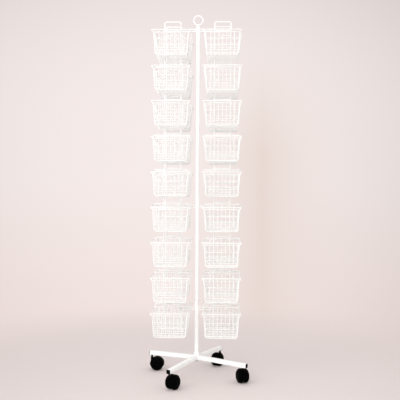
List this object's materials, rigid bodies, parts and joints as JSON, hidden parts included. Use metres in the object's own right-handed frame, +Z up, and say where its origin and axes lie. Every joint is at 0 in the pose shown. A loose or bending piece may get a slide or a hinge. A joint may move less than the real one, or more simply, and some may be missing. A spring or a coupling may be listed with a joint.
{
  "type": "spinner display rack",
  "caption": "Turning floor rack on casters: wire baskets in two columns, front and rear, on ladder frames round a central pole with a ring on top.",
  "frame": {"origin": "on the floor, under the pole's axis", "axes": "+Z up along the pole; -Y towards the front baskets; +X towards the right column of baskets"},
  "size_m": [0.5116, 0.5049, 1.806],
  "materials": {
    "white_powder_coat": "smooth, semi-gloss",
    "zinc_plated_steel": "bright zinc",
    "natural_nylon": "satin",
    "black_moulding": "fine moulded grain",
    "black_wheel_plastic": "satin"
  },
  "bodies": {
    "base": {"right_front_leg": "white_powder_coat", "right_rear_leg": "white_powder_coat", "left_rear_leg": "white_powder_coat", "left_front_leg": "white_powder_coat", "foot_hub": "white_powder_coat", "stem_sockets": "black_moulding", "caster_stems": "zinc_plated_steel", "spindle": "zinc_plated_steel", "spindle_nut": "zinc_plated_steel", "lower_race": "zinc_plated_steel", "ball_ring": "natural_nylon"},
    "spinner": {"pole": "white_powder_coat", "pole_plug": "white_powder_coat", "ring_finial": "white_powder_coat", "upper_arms": "white_powder_coat", "middle_arms": "white_powder_coat", "lower_arms": "white_powder_coat", "front_left_ladder": "white_powder_coat", "front_right_ladder": "white_powder_coat", "rear_left_ladder": "white_powder_coat", "rear_right_ladder": "white_powder_coat", "upper_race": "zinc_plated_steel", "lower_bush": "natural_nylon", "upper_bush": "natural_nylon", "front_baskets_row_1": "white_powder_coat", "front_baskets_row_2": "white_powder_coat", "front_baskets_row_3": "white_powder_coat", "front_baskets_row_4": "white_powder_coat", "front_baskets_row_5": "white_powder_coat", "front_baskets_row_6": "white_powder_coat", "front_baskets_row_7": "white_powder_coat", "front_baskets_row_8": "white_powder_coat", "front_baskets_row_9": "white_powder_coat", "rear_baskets_row_1": "white_powder_coat", "rear_baskets_row_2": "white_powder_coat", "rear_baskets_row_3": "white_powder_coat", "rear_baskets_row_4": "white_powder_coat", "rear_baskets_row_5": "white_powder_coat", "rear_baskets_row_6": "white_powder_coat", "rear_baskets_row_7": "white_powder_coat", "rear_baskets_row_8": "white_powder_coat", "rear_baskets_row_9": "white_powder_coat"},
    "right_front_caster": {"right_front_caster_housing": "black_moulding", "right_front_caster_axle": "zinc_plated_steel"},
    "right_front_caster_left_wheel": {"right_front_caster_left_wheel": "black_wheel_plastic"},
    "right_front_caster_right_wheel": {"right_front_caster_right_wheel": "black_wheel_plastic"},
    "right_rear_caster": {"right_rear_caster_housing": "black_moulding", "right_rear_caster_axle": "zinc_plated_steel"},
    "right_rear_caster_left_wheel": {"right_rear_caster_left_wheel": "black_wheel_plastic"},
    "right_rear_caster_right_wheel": {"right_rear_caster_right_wheel": "black_wheel_plastic"},
    "left_rear_caster": {"left_rear_caster_housing": "black_moulding", "left_rear_caster_axle": "zinc_plated_steel"},
    "left_rear_caster_left_wheel": {"left_rear_caster_left_wheel": "black_wheel_plastic"},
    "left_rear_caster_right_wheel": {"left_rear_caster_right_wheel": "black_wheel_plastic"},
    "left_front_caster": {"left_front_caster_housing": "black_moulding", "left_front_caster_axle": "zinc_plated_steel"},
    "left_front_caster_left_wheel": {"left_front_caster_left_wheel": "black_wheel_plastic"},
    "left_front_caster_right_wheel": {"left_front_caster_right_wheel": "black_wheel_plastic"}
  },
  "joints": [
    {"name": "spinner_turn", "type": "hinge", "parent": "base", "child": "spinner", "pos_m": [0, 0, 0.13], "axis": [0, 0, 1], "continuous": true},
    {"name": "right_front_caster_swivel", "type": "hinge", "parent": "base", "child": "right_front_caster", "pos_m": [0.23638, -0.11529, 0.08], "axis": [0, 0, 1], "continuous": true},
    {"name": "right_front_caster_left_wheel_spin", "type": "hinge", "parent": "right_front_caster", "child": "right_front_caster_left_wheel", "pos_m": [0.22671, -0.09008, 0.033], "axis": [0.9336, 0.3584, 0], "continuous": true},
    {"name": "right_front_caster_right_wheel_spin", "type": "hinge", "parent": "right_front_caster", "child": "right_front_caster_right_wheel", "pos_m": [0.22671, -0.09008, 0.033], "axis": [0.9336, 0.3584, 0], "continuous": true},
    {"name": "right_rear_caster_swivel", "type": "hinge", "parent": "base", "child": "right_rear_caster", "pos_m": [0.11529, 0.23638, 0.08], "axis": [0, 0, 1], "continuous": true},
    {"name": "right_rear_caster_left_wheel_spin", "type": "hinge", "parent": "right_rear_caster", "child": "right_rear_caster_left_wheel", "pos_m": [0.1022, 0.21277, 0.033], "axis": [-0.8746, 0.4848, 0], "continuous": true},
    {"name": "right_rear_caster_right_wheel_spin", "type": "hinge", "parent": "right_rear_caster", "child": "right_rear_caster_right_wheel", "pos_m": [0.1022, 0.21277, 0.033], "axis": [-0.8746, 0.4848, 0], "continuous": true},
    {"name": "left_rear_caster_swivel", "type": "hinge", "parent": "base", "child": "left_rear_caster", "pos_m": [-0.23638, 0.11529, 0.08], "axis": [0, 0, 1], "continuous": true},
    {"name": "left_rear_caster_left_wheel_spin", "type": "hinge", "parent": "left_rear_caster", "child": "left_rear_caster_left_wheel", "pos_m": [-0.20942, 0.11388, 0.033], "axis": [-0.0523, -0.9986, 0], "continuous": true},
    {"name": "left_rear_caster_right_wheel_spin", "type": "hinge", "parent": "left_rear_caster", "child": "left_rear_caster_right_wheel", "pos_m": [-0.20942, 0.11388, 0.033], "axis": [-0.0523, -0.9986, 0], "continuous": true},
    {"name": "left_front_caster_swivel", "type": "hinge", "parent": "base", "child": "left_front_caster", "pos_m": [-0.11529, -0.23638, 0.08], "axis": [0, 0, 1], "continuous": true},
    {"name": "left_front_caster_left_wheel_spin", "type": "hinge", "parent": "left_front_caster", "child": "left_front_caster_left_wheel", "pos_m": [-0.10098, -0.21349, 0.033], "axis": [0.848, -0.5299, 0], "continuous": true},
    {"name": "left_front_caster_right_wheel_spin", "type": "hinge", "parent": "left_front_caster", "child": "left_front_caster_right_wheel", "pos_m": [-0.10098, -0.21349, 0.033], "axis": [0.848, -0.5299, 0], "continuous": true}
  ]
}
